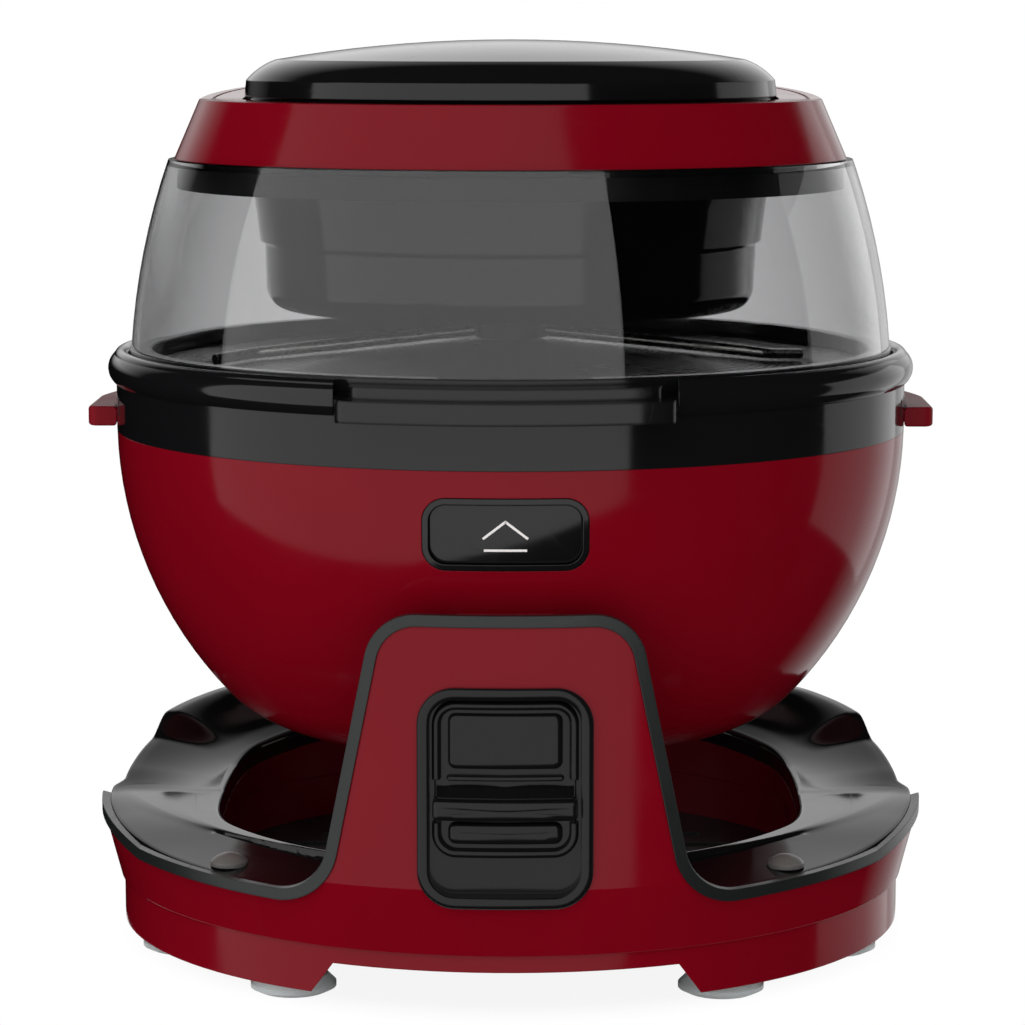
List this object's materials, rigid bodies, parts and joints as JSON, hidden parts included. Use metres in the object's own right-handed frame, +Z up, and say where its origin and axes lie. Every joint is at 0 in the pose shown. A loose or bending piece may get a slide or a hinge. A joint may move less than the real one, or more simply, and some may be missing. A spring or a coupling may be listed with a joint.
{
  "type": "popcorn maker",
  "caption": "Round countertop popcorn maker: bowl with hot plate and stirring arms under a hinged smoked dome with a drop-in butter cup, lifted off a low base with front and rear towers.",
  "frame": {"origin": "on the floor under the middle of the bounding box, on the bowl's axis", "axes": "+Z up along the bowl's axis, the front with the slider and the lid's tab towards -Y, +X to the right seen from the front"},
  "size_m": [0.31, 0.318, 0.3289],
  "materials": {
    "red_plastic": "gloss",
    "dark_red_plastic": "gloss",
    "black_gloss": "gloss",
    "black_satin": "satin",
    "black_trim": "satin",
    "smoked_clear": "clear gloss",
    "grey_rubber": "satin",
    "nonstick": "non-stick coating",
    "steel": "brushed",
    "hub_plastic": "satin",
    "contact_brass": "plain"
  },
  "bodies": {
    "base": {"base_shell": "red_plastic", "front_trim": "black_trim", "rear_trim": "black_trim", "base_deck": "black_gloss", "well_wall": "dark_red_plastic", "base_floor": "black_satin", "deck_studs": "grey_rubber", "rubber_feet": "grey_rubber", "front_cradle": "black_satin", "rear_cradle": "black_satin", "base_socket": "black_satin", "mains_inlet": "black_satin", "inlet_blades": "contact_brass", "slider_bezel": "black_gloss", "micro_switch": "black_satin"},
    "slider": {"power_slider": "black_gloss", "finger_bar": "black_gloss"},
    "bowl": {"bowl_shell": "red_plastic", "plug_pins": "contact_brass", "rim_band": "black_gloss", "right_handle": "red_plastic", "left_handle": "red_plastic", "rim_bezel": "black_gloss", "cooking_plate": "nonstick", "shaft_bush": "hub_plastic", "motor_bracket": "steel", "stir_motor": "steel", "heating_element": "steel", "element_clips": "steel", "thermostat": "hub_plastic", "button_frame": "black_gloss", "button_guide": "black_satin", "hinge_bracket": "black_satin", "hinge_pin": "steel"},
    "button": {"release_button": "black_gloss"},
    "stirrer": {"drive_shaft": "steel", "stir_hub": "hub_plastic", "stir_arms": "steel"},
    "lid": {"lid_rim": "black_gloss", "lid_seal": "black_trim", "lid_dome": "smoked_clear", "lid_collar": "black_satin", "lid_ring": "red_plastic"},
    "cup": {"butter_cup": "black_gloss"},
    "cap": {"top_cap": "black_gloss"}
  },
  "joints": [
    {"name": "bowl_lift", "type": "slide", "parent": "base", "child": "bowl", "axis": [0, 0, 1], "range_m": [0, 0.1]},
    {"name": "slider_travel", "type": "slide", "parent": "base", "child": "slider", "axis": [0, 0, -1], "range_m": [0, 0.0125]},
    {"name": "stir_spin", "type": "hinge", "parent": "bowl", "child": "stirrer", "pos_m": [0, 0, 0.21], "axis": [0, 0, 1], "continuous": true},
    {"name": "button_press", "type": "slide", "parent": "bowl", "child": "button", "axis": [0, 1, 0], "range_m": [0, 0.003], "stiffness_N_per_m": 400, "springref_m": -0.001},
    {"name": "lid_hinge", "type": "hinge", "parent": "bowl", "child": "lid", "pos_m": [0, 0.1535, 0.219], "axis": [-1, 0, 0], "range_deg": [0, 80]},
    {"name": "cup_lift", "type": "slide", "parent": "lid", "child": "cup", "axis": [0, 0, 1], "range_m": [0, 0.09]},
    {"name": "cap_lift", "type": "slide", "parent": "cup", "child": "cap", "axis": [0, 0, 1], "range_m": [0, 0.05]}
  ]
}
